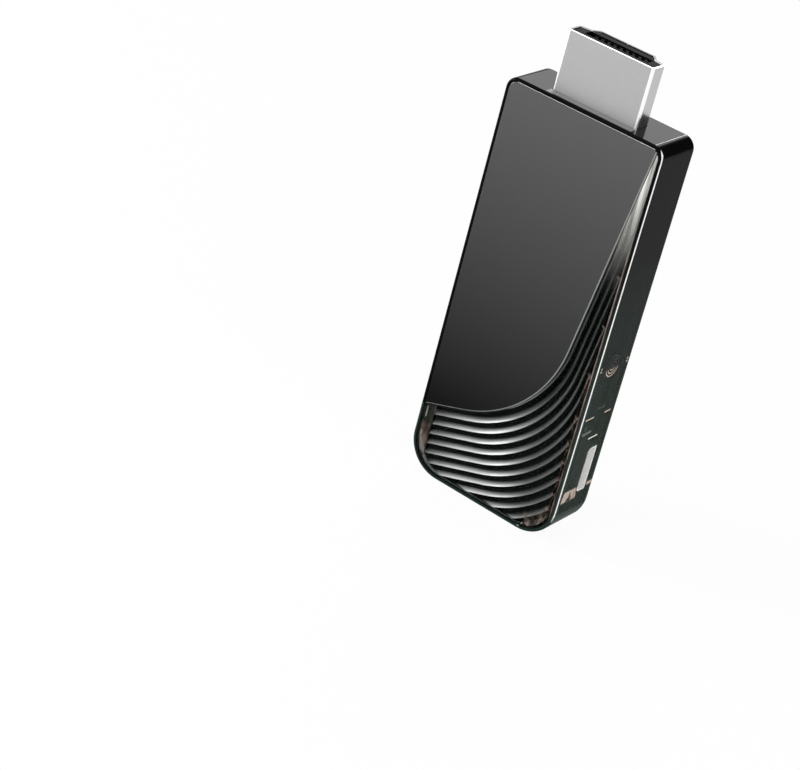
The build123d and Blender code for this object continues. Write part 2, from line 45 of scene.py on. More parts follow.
# Camera
# A long lens looks down on the dongle's front and right wall. The camera is rolled, so the plug leans
# to the right in the picture.
camera_place = Vector((145.85, -275.31, 176.08)) * MM
camera_forward = Vector((-0.4566, 0.7598, -0.4628))
camera_roll = np.radians(14.593)
camera_data = bpy.data.cameras.new("camera")
camera_data.sensor_width = 36.0
camera_data.lens = 110.71
camera_data.clip_start = 0.01
camera = bpy.data.objects.new("camera", camera_data)
bpy.context.scene.collection.objects.link(camera)
level = camera_forward.to_track_quat("-Z", "Y").to_matrix()
turned = level @ Matrix.Rotation(camera_roll, 3, "Z")
camera.matrix_world = Matrix.Translation(camera_place) @ turned.to_4x4()
bpy.context.scene.camera = camera
bpy.context.scene.view_settings.view_transform = "Standard"


# Floor and studio
# A plain white floor, a white room and four soft lamps. The camera, reflections and clear parts find the
# floor and the room white, and the floor keeps a faint shadow.
def linear(code):
    """Turn an sRGB hex value into the linear colour that a shader takes."""
    parts = np.array([int(code[i:i + 2], 16) for i in (1, 3, 5)]) / 255
    parts = np.where(parts > 0.04045, ((parts + 0.055) / 1.055) ** 2.4, parts / 12.92)
    return (*parts.tolist(), 1.0)


def add(tree, kind, links=None, **settings):
    """Add a node with its settings. Each socket in links takes a value, a hex colour, another node's
    output, or another node, which stands for its first output in use."""
    node = tree.nodes.new(kind)
    for name, value in settings.items():
        setattr(node, name, value)
    for socket, value in (links or {}).items():
        if isinstance(value, bpy.types.Node):
            value = next(output for output in value.outputs if output.enabled)
        if isinstance(value, bpy.types.NodeSocket):
            tree.links.new(value, node.inputs[socket])
        else:
            node.inputs[socket].default_value = linear(value) if isinstance(value, str) else value
    return node


def blank(name):
    """New material with an empty tree."""
    material = bpy.data.materials.new(name)
    material.use_nodes = True
    material.node_tree.nodes.clear()
    return material, material.node_tree


def merged(tree, operation, *shares):
    """One share from several: MULTIPLY keeps what all have in common, MAXIMUM what any of them has."""
    result = shares[0]
    for share in shares[1:]:
        result = add(tree, "ShaderNodeMath", {0: result, 1: share}, operation=operation)
    return result


def seen(tree):
    """1 for camera, glossy and transmission rays, and 0 for the rest."""
    path = add(tree, "ShaderNodeLightPath")
    rays = [path.outputs[f"Is {kind} Ray"] for kind in ("Camera", "Glossy", "Transmission")]
    return merged(tree, "MAXIMUM", *rays)


floor_half = 3.0
floor_shine = 0.95
floor_mesh = bpy.data.meshes.new("floor")
floor_corners = [(-floor_half, -floor_half, 0), (floor_half, -floor_half, 0),
                 (floor_half, floor_half, 0), (-floor_half, floor_half, 0)]
floor_mesh.from_pydata(floor_corners, [], [(0, 1, 2, 3)])
floor = bpy.data.objects.new("floor", floor_mesh)
bpy.context.scene.collection.objects.link(floor)
floor_paint, tree = blank("white_floor")
matt = add(tree, "ShaderNodeBsdfDiffuse", {"Color": "#f7f7f7"})
glow = add(tree, "ShaderNodeEmission", {"Color": "#ffffff", "Strength": 1.0})
share = merged(tree, "MULTIPLY", seen(tree), floor_shine)
mix = add(tree, "ShaderNodeMixShader", {0: share, 1: matt, 2: glow})
add(tree, "ShaderNodeOutputMaterial", {"Surface": mix})
floor_mesh.materials.append(floor_paint)

room_light = 0.2
world = bpy.data.worlds.new("room")
world.use_nodes = True
bpy.context.scene.world = world
tree = world.node_tree
tree.nodes.clear()
strength = add(tree, "ShaderNodeMapRange", {"Value": seen(tree), "To Min": room_light, "To Max": 1.0})
room = add(tree, "ShaderNodeBackground", {"Color": "#ffffff", "Strength": strength})
add(tree, "ShaderNodeOutputWorld", {"Surface": room})

lamp_aim = Vector((0, 0, 30)) * MM


def softbox(name, side, front, up, width, height, brightness):
    """Rectangular lamp at a place in metres, turned to the dongle, with its brightness as radiance."""
    data = bpy.data.lights.new(name, "AREA")
    data.shape = "RECTANGLE"
    data.size = width
    data.size_y = height
    data.energy = brightness * np.pi * width * height
    lamp = bpy.data.objects.new(name, data)
    bpy.context.scene.collection.objects.link(lamp)
    place = Vector((side, front, up))
    aim = (lamp_aim - place).to_track_quat("-Z", "Y")
    lamp.matrix_world = Matrix.Translation(place) @ aim.to_matrix().to_4x4()


softbox("key_lamp", -0.38, -0.211, 0.146, width=0.08, height=0.125, brightness=56)
softbox("top_lamp", -0.03, -0.13, 0.19, width=0.10, height=0.10, brightness=3)
softbox("back_left_lamp", -0.235, 0.374, 0.29, width=0.34, height=0.26, brightness=3.2)
softbox("right_lamp", 0.36, -0.14, 0.2, width=0.25, height=0.25, brightness=5)


# Black side frame
# The opaque half of the housing's side wall, injection moulded in black ABS and polished. Its outer
# edges are rounded, and a painted highlight runs as a bright line in its colour along some of them.
def corners(node):
    """Lowest and highest corner of a CAD node, in millimetres."""
    low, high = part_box(node)
    return low / MM, high / MM


# Places that a material compares are plain millimetres, and lengths of meshes and patterns carry MM.
plug_end = corners("frame_black")[1].z
right_wall = corners("frame_smoke")[1].x
weld_gap = 0.0005 * MM
sliver_edge = 0.0002 * MM
sharp_turn = np.radians(35)
# Colour of the painted edge highlight.
edge_highlight_colour = "#f4f4f2"
end_polish = 0.27
wall_polish = 0.2
rounding_polish = 0.04
corner_polish = 0.01


def surroundings(tree):
    """Measures of a surface: its place for patterns, its x, y and z in millimetres, its normal_x, normal_y
    and normal_z, and the same six without their signs, as abs_x and so on."""
    source = add(tree, "ShaderNodeTexCoord")
    place, normal = source.outputs["Object"], source.outputs["Normal"]
    scaled = add(tree, "ShaderNodeVectorMath", {0: place, "Scale": 1 / MM}, operation="SCALE")
    at = {"place": place}
    for name, vector in (("", scaled), ("normal_", normal)):
        unsigned = add(tree, "ShaderNodeVectorMath", {0: vector}, operation="ABSOLUTE")
        for sign, part in (("", vector), ("abs_", unsigned)):
            split = add(tree, "ShaderNodeSeparateXYZ", {0: part})
            for axis in "XYZ":
                at[sign + name + axis.lower()] = split.outputs[axis]
    return at


def within(tree, at, **limits):
    """1 where each measure named lies between its low and its high limit, and 0 elsewhere. The third
    number blurs both limits, None leaves one open, and places are in millimetres."""
    shares = []
    for measure, (low, high, blur) in limits.items():
        for limit, step in ((low, blur), (high, -blur)):
            if limit is not None:
                ends = {"Value": at[measure], "From Min": limit - step, "From Max": limit + step}
                shares.append(add(tree, "ShaderNodeMapRange", ends, interpolation_type="SMOOTHSTEP"))
    return merged(tree, "MULTIPLY", *shares)


def layered(tree, base, *layers):
    """Colour of a base under layers, each of which covers what is below by its share."""
    for share, colour in layers:
        base = add(tree, "ShaderNodeMix", {"Factor": share, 6: base, 7: colour}, data_type="RGBA")
    return base


def textured(tree, pattern, smooth, rough, relief, depth):
    """Roughness and normal from one pattern, whose high parts are rougher and stand up by a depth."""
    roughness = add(tree, "ShaderNodeMapRange", {"Value": pattern, "To Min": smooth, "To Max": rough})
    bump = add(tree, "ShaderNodeBump", {"Height": pattern, "Strength": relief, "Distance": depth})
    return {"Roughness": roughness, "Normal": bump}


def polished(texture, share, roughness):
    """Sockets of a polish whose share changes over the surface. It is a clear coat, and the plastic below
    has no sheen of its own, so that a small share stays dark at a grazing angle too."""
    coat = {"Coat Weight": share, "Coat Roughness": roughness, "Coat Normal": texture["Normal"]}
    return {**texture, **coat, "Specular IOR Level": 0.0}


def surfaced(material, sockets):
    """Give a material its Principled shader, with these values and links on its sockets."""
    shader = add(material.node_tree, "ShaderNodeBsdfPrincipled", sockets)
    add(material.node_tree, "ShaderNodeOutputMaterial", {"Surface": shader})
    return material


def softened(bm, name, sliver, sharp):
    """Mesh without edges shorter than a sliver, smooth except where it turns by more than an angle."""
    bmesh.ops.dissolve_degenerate(bm, edges=bm.edges, dist=sliver)
    for face in bm.faces:
        face.smooth = True
    for edge in bm.edges:
        edge.smooth = edge.is_manifold and bool(edge.calc_face_angle(0) < sharp)
    mesh = bpy.data.meshes.new(name)
    bm.to_mesh(mesh)
    bm.free()
    return mesh


def shown(mesh, node, body="dongle"):
    """Object for a finished mesh. It stands for a CAD node, which it hides, and moves with its body."""
    piece = bpy.data.objects.new(mesh.name, mesh)
    bpy.context.scene.collection.objects.link(piece)
    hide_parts(node)
    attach(piece, body)
    return piece


def dressed(node, name, material, body="dongle"):
    """Merged, smoothly shaded copy of a CAD node that stands for it, with its finish."""
    bm = bmesh.new()
    bm.from_mesh(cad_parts[node].data)
    bmesh.ops.remove_doubles(bm, verts=bm.verts, dist=weld_gap)
    mesh = softened(bm, name, sliver_edge, sharp_turn)
    mesh.materials.append(material)
    flat = shown(mesh, node, body).modifiers.new("flat_faces", "WEIGHTED_NORMAL")
    flat.keep_sharp = True


def painted_edge_highlights(tree, at):
    """Share of painted highlight, drawn as a bright line: bands in the roundings of two long edges and of
    the plug's end, and a hairline where the end face turns into its right corner."""
    diagonal = merged(tree, "MULTIPLY", at["x"], at["y"])
    opposite = add(tree, "ShaderNodeMath", {0: diagonal, 1: 0.0}, operation="LESS_THAN")
    fading = add(tree, "ShaderNodeMapRange", {"Value": at["z"], "From Min": 3.6, "From Max": 4.8})
    turning = within(tree, at, abs_normal_x=(0.57, 0.87, 0.04), abs_normal_y=(0.2, None, 0.01))
    long_edges = merged(tree, "MULTIPLY", opposite, fading, turning)
    end_line = (plug_end - 0.6, plug_end - 0.46, 0.02)
    end_edges = within(tree, at, x=(-11.1, 11.4, 0.1), z=end_line, abs_normal_y=(0.9, None, 0.03))
    hairline = within(tree, at, x=(0, None, 1), normal_z=(0.9, None, 0.01),
                      abs_normal_x=(0.03, 0.08, 0.015), abs_normal_y=(None, 0.3, 0.02))
    return merged(tree, "MAXIMUM", long_edges, end_edges, hairline)


def wall_polish_share(tree, at):
    """Share of polish: most on the plug's end face, less on the flat walls, and least on the roundings
    and on the right corner of the plug's end."""
    flat = within(tree, at, abs_normal_y=(None, 0.1, 0.05))
    end = within(tree, at, normal_z=(0.95, None, 0.02))
    corner = within(tree, at, x=(right_wall - 1.9, None, 0.1), z=(plug_end - 1.3, None, 0.1),
                    normal_z=(None, 0.95, 0.02))
    walls = add(tree, "ShaderNodeMapRange", {"Value": flat, "To Min": rounding_polish, "To Max": wall_polish})
    shiny = add(tree, "ShaderNodeMix", {"Factor": end, "A": walls, "B": end_polish})
    return add(tree, "ShaderNodeMix", {"Factor": corner, "A": shiny, "B": corner_polish})


def polished_abs():
    """Polished black ABS: near-black with faint clouds and mould waves, and a painted reflection of the plug
    that makes the end face paler in front of it.
    """
    material, tree = blank("polished_abs")
    at = surroundings(tree)
    cloud = add(tree, "ShaderNodeTexNoise", {"Vector": at["place"], "Scale": 1 / (6 * MM), "Detail": 3.0})
    wave = add(tree, "ShaderNodeTexNoise", {"Vector": at["place"], "Scale": 1 / (9 * MM)})
    plug_low, plug_high = corners("plug_shell")
    # Painted reflection of the plug: the end face in front of it is drawn pale grey.
    plug_reflection = within(tree, at, x=(plug_low.x, plug_high.x, 0.1), y=(-3.6, plug_low.y - 0.08, 0.04),
                    z=(plug_end - 0.05, None, 0.01))
    black = layered(tree, "#080809", (cloud, "#0f0f10"))
    # Over the black lie the painted reflection of the plug and the painted edge highlight.
    colour = layered(tree, black, (plug_reflection, "#868687"), (painted_edge_highlights(tree, at), edge_highlight_colour))
    mould = textured(tree, wave, smooth=0.07, rough=0.13, relief=0.05, depth=0.05 * MM)
    polish = polished(mould, wall_polish_share(tree, at), roughness=0.1)
    return surfaced(material, {"Base Color": colour, **polish})


dressed("frame_black", "black_side_frame", polished_abs())


# Smoked side frame
# The clear half of the side wall, moulded in smoked polycarbonate. The faces that the windows are
# bonded to show tan through it, and it is clear in front of the light guide, the inner ribs and the waves.

# A zone is a low limit, a high limit and a blur for each measure. The tan marks are two torn patches of
# bonding, pairs of pips beside the button, and bars at the ribs.
bonded_face = {"abs_y": (3.3, 3.5, 0.01), "abs_normal_y": (0.9, None, 0.01)}
outer_wall = (right_wall - 0.2, None, 0.01)
left_bond = (-12.15, -11.95, 0.03)
torn = (0.43, None, 0.04)
tan_marks = (
    {"y": (-3.75, 0.1, 0.1), "z": (6.7, 8.6, 0.15), "streak": torn},
    {"y": (2.1, 3.8, 0.1), "z": (8.0, 8.6, 0.1), "streak": torn},
    {"abs_y": (3.1, 3.5, 0.04), "z": (28.1, 28.4, 0.05)},
    {"abs_y": (3.1, 3.5, 0.04), "z": (28.6, 28.85, 0.05)},
    {"y": (-3.5, -1.4, 0.1), "z": (20.35, 20.65, 0.04)},
    {"y": (1.3, 2.9, 0.1), "z": (20.35, 20.65, 0.04)},
)
inner_rib = {"x": (11, 11.69, 0.005), "z": (20, 20.6, 0.01)}
pale_bar = {"x": outer_wall, "y": (-1.2, 1.2, 0.08), "z": (16.75, 17.0, 0.04)}
# Pale dashes on the left bonded face are painted highlights.
glint_dashes = ({"z": (8.05, 9.9, 0.08)}, {"z": (5.0, 5.8, 0.08)})
shaded_parts = ({"x": (None, -9, 0.1), "z": (7.2, None, 0.5)}, {"x": (-9, 8, 0.6), "z": (0, 4, 0.5)})
wave_sight = {"x": (-8.8, 7.2, 0.3), "y": (-3.5, -2.4, 0.02), "z": (0.45, 2.6, 0.05)}
wall_sights = ({"y": (-0.75, 1.65, 0.05), "z": (16.35, 16.85, 0.04)},
               {"abs_y": (1.5, 2.8, 0.05), "z": (20.05, 20.55, 0.04)})


def anywhere(tree, at, zones, **shared):
    """1 within any of several zones, each one a set of limits, with the limits that they all have."""
    return merged(tree, "MAXIMUM", *(within(tree, at, **zone, **shared) for zone in zones))


def smoked_polycarbonate():
    """Thick smoked polycarbonate: black-green, clear only where something shows through, with tan bonded
    faces that pale toward the plug, and tan marks on the right wall."""
    material, tree = blank("smoked_polycarbonate")
    at = surroundings(tree)
    drawn = add(tree, "ShaderNodeMapping", {"Vector": at["place"], "Scale": (1.0, 1.0, 0.3)})
    streak = add(tree, "ShaderNodeTexNoise", {"Vector": drawn, "Scale": 1 / (1.1 * MM), "Detail": 4.0})
    wave = add(tree, "ShaderNodeTexNoise", {"Vector": at["place"], "Scale": 1 / (8 * MM)})
    at["streak"] = streak
    bonded = within(tree, at, **bonded_face)
    marks = anywhere(tree, at, tan_marks, x=outer_wall)
    rib = within(tree, at, **inner_rib)
    bar = within(tree, at, **pale_bar)
    dash_glints = anywhere(tree, at, glint_dashes, x=left_bond, **bonded_face)
    shaded = anywhere(tree, at, shaded_parts)
    # Painted highlight: a bright line along some rounded edges.
    edge = painted_edge_highlights(tree, at)

    patch = add(tree, "ShaderNodeMapRange", {"Value": streak, "From Min": 0.36, "From Max": 0.64})
    middle = add(tree, "ShaderNodeMapRange", {"Value": at["z"], "From Min": 5, "From Max": 36})
    top = add(tree, "ShaderNodeMapRange", {"Value": at["z"], "From Min": 44, "From Max": 58})
    brown = layered(tree, "#493d36", (patch, "#9c877b"))
    pink = layered(tree, "#8a7972", (patch, "#c9b7b0"))
    bond = layered(tree, brown, (middle, pink), (top, "#c6c3bb"))
    green = add(tree, "ShaderNodeMapRange", {"Value": at["z"], "From Min": 45, "From Max": 22})
    wall = layered(tree, "#0a0a0b", (green, "#24322b"))
    light = add(tree, "ShaderNodeMapRange", {"Value": shaded, "To Min": 1.0, "To Max": 0.15})
    lit_bond = merged(tree, "MULTIPLY", bonded, light)
    # The light guide's bar and the dashes of painted highlight share one pale colour; the painted edge
    # highlight lies on top.
    colour = layered(tree, wall, (lit_bond, bond),
                     (merged(tree, "MAXIMUM", marks, rib), "#baa99c"),
                     (merged(tree, "MAXIMUM", dash_glints, bar), "#e0dfd0"), (edge, edge_highlight_colour))

    far_sight = within(tree, at, **wave_sight)
    sights = anywhere(tree, at, wall_sights, x=(right_wall - 1.205, None, 0.002))
    clear = merged(tree, "MAXIMUM", far_sight, sights)
    smoke = add(tree, "ShaderNodeMapRange", {"Value": at["z"], "From Min": 24, "From Max": 42, "To Min": 0.6,
                "To Max": 0.95})
    thin = add(tree, "ShaderNodeMapRange", {"Value": clear, "To Min": 1.0, "To Max": 0.05})
    rim = within(tree, at, abs_y=(3.55, None, 0.02))
    far_corner = within(tree, at, x=(8, None, 0.5), z=(None, 5, 0.5))
    held = add(tree, "ShaderNodeMath", {0: bonded, 1: far_sight}, operation="SUBTRACT", use_clamp=True)
    tint = merged(tree, "MULTIPLY", smoke, thin)
    opacity = merged(tree, "MAXIMUM", tint, held, marks, bar, rib, edge, rim, far_corner)
    mould = textured(tree, wave, smooth=0.05, rough=0.12, relief=0.05, depth=0.05 * MM)
    polish = polished(mould, wall_polish_share(tree, at), roughness=0.08)
    return surfaced(material, {"Base Color": colour, "Alpha": opacity, **polish})


dressed("frame_smoke", "smoked_side_frame", smoked_polycarbonate())


# Satin covers
# The front and back sheets on the plug's side of the dividing line, ABS with a satin dark grey
# lacquer. Its grey holds painted light and shade, darker toward the far end and lighter toward the
# plug, and the sheet's bevel carries a painted highlight.
def satin_lacquer(name, far_shade_grey, plug_lit_grey):
    """Satin lacquer: painted light and shade as a slow change of grey along the dongle, fine grain and a
    painted highlight line on the cut edge.
    The grain is drawn coarser than the real one, so that it shows."""
    material, tree = blank(name)
    at = surroundings(tree)
    grain = add(tree, "ShaderNodeTexNoise", {"Vector": at["place"], "Scale": 1 / (0.12 * MM), "Detail": 2.0})
    # Painted light and shade: the grey changes from the far end's darker grey to the plug's lighter grey.
    along = add(tree, "ShaderNodeMapRange", {"Value": at["z"], "From Min": 12, "From Max": 61})
    fleck = add(tree, "ShaderNodeMapRange", {"Value": grain, "To Min": 0.94, "To Max": 1.06})
    grey = layered(tree, far_shade_grey, (along, plug_lit_grey))
    grained_grey = add(tree, "ShaderNodeVectorMath", {0: grey, "Scale": fleck}, operation="SCALE")
    # Painted highlight: a pale line on the sheet's bevel.
    bevel_highlight = within(tree, at, abs_x=(None, 12.1, 0.01), z=(None, 61.2, 0.01), abs_normal_y=(None, 0.85, 0.01))
    colour = layered(tree, grained_grey, (bevel_highlight, "#a6aaa5"))
    lacquer = textured(tree, grain, smooth=0.36, rough=0.44, relief=0.12, depth=0.01 * MM)
    return surfaced(material, {"Base Color": colour, **lacquer, "Specular IOR Level": 0.06})


front_lacquer = satin_lacquer("satin_front", far_shade_grey="#08080a", plug_lit_grey="#535353")
back_lacquer = satin_lacquer("satin_back", far_shade_grey="#5c5c5d", plug_lit_grey="#868687")
dressed("front_cover", "front_cover_sheet", front_lacquer)
dressed("back_cover", "back_cover_sheet", back_lacquer)


# Smoked windows
# Smoked polycarbonate sheets on the far side of the dividing line. The front one is lightly tinted and
# shows the wave relief. The back one is nearly black, and its bond shows as a tan band at the right.
sheen_opacity = 0.85
tooth_pitch = 3.2
tooth_slope = 0.2
band_inner_edge = 10.75


def smoked_sheet(name, opacity, tint, pale_side, sheen_colour, bond_share):
    """Thin smoked sheet: dark tint, mirror-smooth, paler toward the left, with streaks of painted reflection
    toward the plug. The tan band's inner edge is a line that steps back at each tooth."""
    material, tree = blank(name)
    at = surroundings(tree)
    haze = add(tree, "ShaderNodeTexNoise", {"Vector": at["place"], "Scale": 1 / (14 * MM), "Detail": 2.0})
    drawn = add(tree, "ShaderNodeMapping", {"Vector": at["place"], "Rotation": (0, 0.127, 0),
                "Scale": (1.0, 1.0, 0.03)})
    streak = add(tree, "ShaderNodeTexNoise", {"Vector": drawn, "Scale": 1 / (0.5 * MM)})
    cut = add(tree, "ShaderNodeMath", {0: at["abs_normal_y"], 1: 0.85}, operation="LESS_THAN")
    leftward = add(tree, "ShaderNodeMapRange", {"Value": at["x"], "From Min": 2, "From Max": -11})
    # Painted reflection: pale, more opaque streaks toward the plug.
    upward = add(tree, "ShaderNodeMapRange", {"Value": at["z"], "From Min": 41, "From Max": 58},
                 interpolation_type="SMOOTHSTEP")
    streaked = add(tree, "ShaderNodeMapRange", {"Value": streak, "From Min": 0.3, "From Max": 0.6,
                   "To Min": 0.35, "To Max": 1.0})
    painted_sheen = merged(tree, "MULTIPLY", upward, streaked)

    tooth = add(tree, "ShaderNodeMath", {0: at["z"], 1: tooth_pitch}, operation="FLOORED_MODULO")
    inner_edge = add(tree, "ShaderNodeMath", {0: tooth, 1: tooth_slope, 2: band_inner_edge},
                     operation="MULTIPLY_ADD")
    past_edge = add(tree, "ShaderNodeMath", {0: at["x"], 1: inner_edge}, operation="SUBTRACT")
    at["streak"] = streak
    at["past_edge"] = past_edge
    band = within(tree, at, past_edge=(0, None, 0.05), z=(5, 44, 1.5), streak=(0.38, None, 0.06))
    bonded = merged(tree, "MULTIPLY", band, bond_share)
    colour = layered(tree, tint, (leftward, pale_side), (painted_sheen, sheen_colour), (bonded, "#8f776a"),
                     (cut, "#1b201d"))
    sheen_alpha = add(tree, "ShaderNodeMix", {"Factor": painted_sheen, "A": opacity, "B": sheen_opacity})
    alpha = add(tree, "ShaderNodeMix", {"Factor": cut, "A": sheen_alpha, "B": 0.9})
    surface_wave = textured(tree, haze, smooth=0.02, rough=0.07, relief=0.04, depth=0.05 * MM)
    return surfaced(material, {"Base Color": colour, "Alpha": alpha, **surface_wave, "IOR": 1.5,
                               "Specular IOR Level": 0.05})


# The front sheet's pale colour toward the plug is a painted reflection; the back sheet's equals its tint.
front_smoke = smoked_sheet("smoked_front", opacity=0.15, tint="#0c1410", pale_side="#0c1410",
                           sheen_colour="#eeeee8", bond_share=0.0)
back_smoke = smoked_sheet("smoked_back", opacity=0.85, tint="#0e1511", pale_side="#3b403d",
                          sheen_colour="#0e1511", bond_share=1.0)
dressed("front_window", "front_window_sheet", front_smoke)
dressed("back_window", "back_window_sheet", back_smoke)


# Back strip
# A strip of tan bonding tape behind the back cover and the back window. It ties the two along the
# dividing line.
def grained(name, dark, light, smooth, rough, grain, relief, sockets):
    """Two close shades with a fine grain, of a size in millimetres, in shade, gloss and height."""
    material, tree = blank(name)
    place = add(tree, "ShaderNodeTexCoord").outputs["Object"]
    pattern = add(tree, "ShaderNodeTexNoise", {"Vector": place, "Scale": 1 / (grain * MM), "Detail": 3.0})
    texture = textured(tree, pattern, smooth, rough, relief, depth=0.01 * MM)
    return surfaced(material, {"Base Color": layered(tree, dark, (pattern, light)), **texture, **sockets})


def moulded_plastic(name, dark, light, smooth, rough, grain, sheen=0.4):
    """Moulded plastic or resin: two close shades, a spark-eroded grain and an even sheen."""
    return grained(name, dark, light, smooth, rough, grain, relief=0.15,
                   sockets={"Specular IOR Level": sheen})


def paint(material, *nodes):
    """Give CAD nodes a finish."""
    for name in nodes:
        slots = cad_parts[name].data.materials
        slots.clear()
        slots.append(material)


tan_bond = moulded_plastic("tan_bond", "#5a4840", "#a58e80", smooth=0.5, rough=0.6, grain=0.9, sheen=0.1)
paint(tan_bond, "back_strip")


# Wave relief
# A glossy moulding behind the front window. Twelve waves rise from flat and break off sharply, each one
# the dividing line moved by one step, and they run out in teeth at the right wall.
divide_left_height = 10.3 * MM
divide_left_slope = np.radians(18.2)
divide_top_inset = 1.0 * MM
divide_top_slope = np.radians(82.7)
divide_bend_radius = 20.2 * MM
wave_count = 12
wave_lead = 0.28
wave_step_across = 0.8 * MM
wave_step_down = 1.36 * MM
wave_height = 0.55 * MM
wave_crest_share = 0.9
wave_crest_gap = 0.05 * MM
wave_lap = 0.15
edge_tooth_depth = 0.6 * MM
housing_corner = 5.5 * MM
relief_rim = 0.5 * MM
covered_steps = 1.0
last_land = 0.05
line_points = 280
wave_points = 18
wave_bunching = 0.8
relief_sliver = 0.002 * MM
crest_turn = np.radians(50)
smoke_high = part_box("frame_smoke")[1]
relief_low, relief_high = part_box("wave_panel")
relief_floor = relief_low.y + wave_crest_gap + wave_height


def dividing_line(count, left_run, top_run):
    """Points of the dividing line: a straight run, an arc of the bend radius, and a steeper straight run."""
    low, high = divide_left_slope, divide_top_slope
    low_x, low_z = -smoke_high.x, divide_left_height
    gap_x = smoke_high.x - divide_top_inset - low_x
    gap_z = smoke_high.z - low_z
    reach = (gap_x * np.sin(high) - gap_z * np.cos(high)) / np.sin(high - low)
    bend_x, bend_z = low_x + reach * np.cos(low), low_z + reach * np.sin(low)
    tangent = divide_bend_radius * np.tan((high - low) / 2)
    first = reach - tangent + left_run
    arc = divide_bend_radius * (high - low)
    last = np.hypot(low_x + gap_x - bend_x, low_z + gap_z - bend_z) - tangent + top_run
    run = np.linspace(0, first + arc + last, count)
    turn = low + np.clip((run - first) / divide_bend_radius, 0, high - low)
    before = np.minimum(run, first) - first
    after = np.maximum(run - first - arc, 0)
    arc_x = divide_bend_radius * (np.sin(turn) - np.sin(low))
    arc_z = divide_bend_radius * (np.cos(low) - np.cos(turn))
    x = bend_x - tangent * np.cos(low) + before * np.cos(low) + arc_x + after * np.cos(high)
    z = bend_z - tangent * np.sin(low) + before * np.sin(low) + arc_z + after * np.sin(high)
    return x, z


def teeth(x_line, z_line, limit):
    """Heights and depths of the notches in the right edge: full depth just above the end of each wave, and
    falling evenly to nothing just below the next end up."""
    ends = []
    for step in wave_lead + np.arange(1, wave_count):
        ends.append(np.interp(limit, x_line + step * wave_step_across, z_line) - step * wave_step_down)
    ends = np.array(sorted(ends))
    hair = 0.01 * MM
    places = np.ravel(np.column_stack((ends[:-1] + hair, ends[1:] - hair)))
    depths = np.tile([edge_tooth_depth, 0], len(ends) - 1)
    return np.concatenate(([0], places, [1])), np.concatenate(([0], depths, [0]))


def moulded_relief():
    """Grid of the dividing line by the wave steps, with height as the square of each wave's run. It starts
    flat behind the cover and ends at the right wall's teeth, and an ellipse cuts it to the housing's far
    corners. A wave's points lie closer toward its crest."""
    x_line, z_line = dividing_line(line_points, left_run=12 * MM, top_run=20 * MM)
    share = np.linspace(0, 1, wave_points) ** wave_bunching
    steps = [np.array([-covered_steps, wave_lap])]
    heights = [np.full(2, wave_height + wave_crest_gap)]
    for wave in range(wave_count):
        start = wave + wave_lead if wave else wave_lap
        steps.append(start + share * (wave + wave_lead + wave_crest_share - start))
        heights.append(wave_height * share ** 2)
    steps.append(wave_count + wave_lead + np.array([0, last_land]))
    heights.append(np.zeros(2))
    step = np.concatenate(steps)[:, None]
    height = np.concatenate(heights)[:, None]
    x = x_line + wave_step_across * step
    z = z_line - wave_step_down * step
    y = np.broadcast_to(relief_floor - height, x.shape)
    edge = np.interp(z.ravel(), *teeth(x_line, z_line, relief_high.x)).reshape(x.shape)
    x = np.clip(x, relief_low.x, relief_high.x - edge)
    z = np.clip(z, relief_rim, relief_high.z)
    deep_x = np.maximum(np.abs(x) - (smoke_high.x - housing_corner), 0)
    deep_z = np.maximum(housing_corner - z, 0)
    corner_across = housing_corner - (smoke_high.x - relief_high.x)
    over = np.maximum(np.hypot(deep_x / corner_across, deep_z / (housing_corner - relief_rim)), 1)
    x = np.sign(x) * (np.abs(x) - deep_x + deep_x / over)
    z = np.where(deep_z > 0, z + deep_z - deep_z / over, z)
    return x, y, z


def surface(name, x, y, z, sliver, sharp):
    """Mesh of a grid of points, with a four-sided face between each four neighbours."""
    rows, columns = x.shape
    index = np.arange(rows * columns).reshape(rows, columns)
    quads = np.stack((index[:-1, :-1], index[:-1, 1:], index[1:, 1:], index[1:, :-1]), axis=-1).reshape(-1, 4)
    grid = bpy.data.meshes.new("grid")
    grid.from_pydata(np.stack((x, y, z), axis=-1).reshape(-1, 3).tolist(), [], quads.tolist())
    bm = bmesh.new()
    bm.from_mesh(grid)
    bpy.data.meshes.remove(grid)
    return softened(bm, name, sliver, sharp)


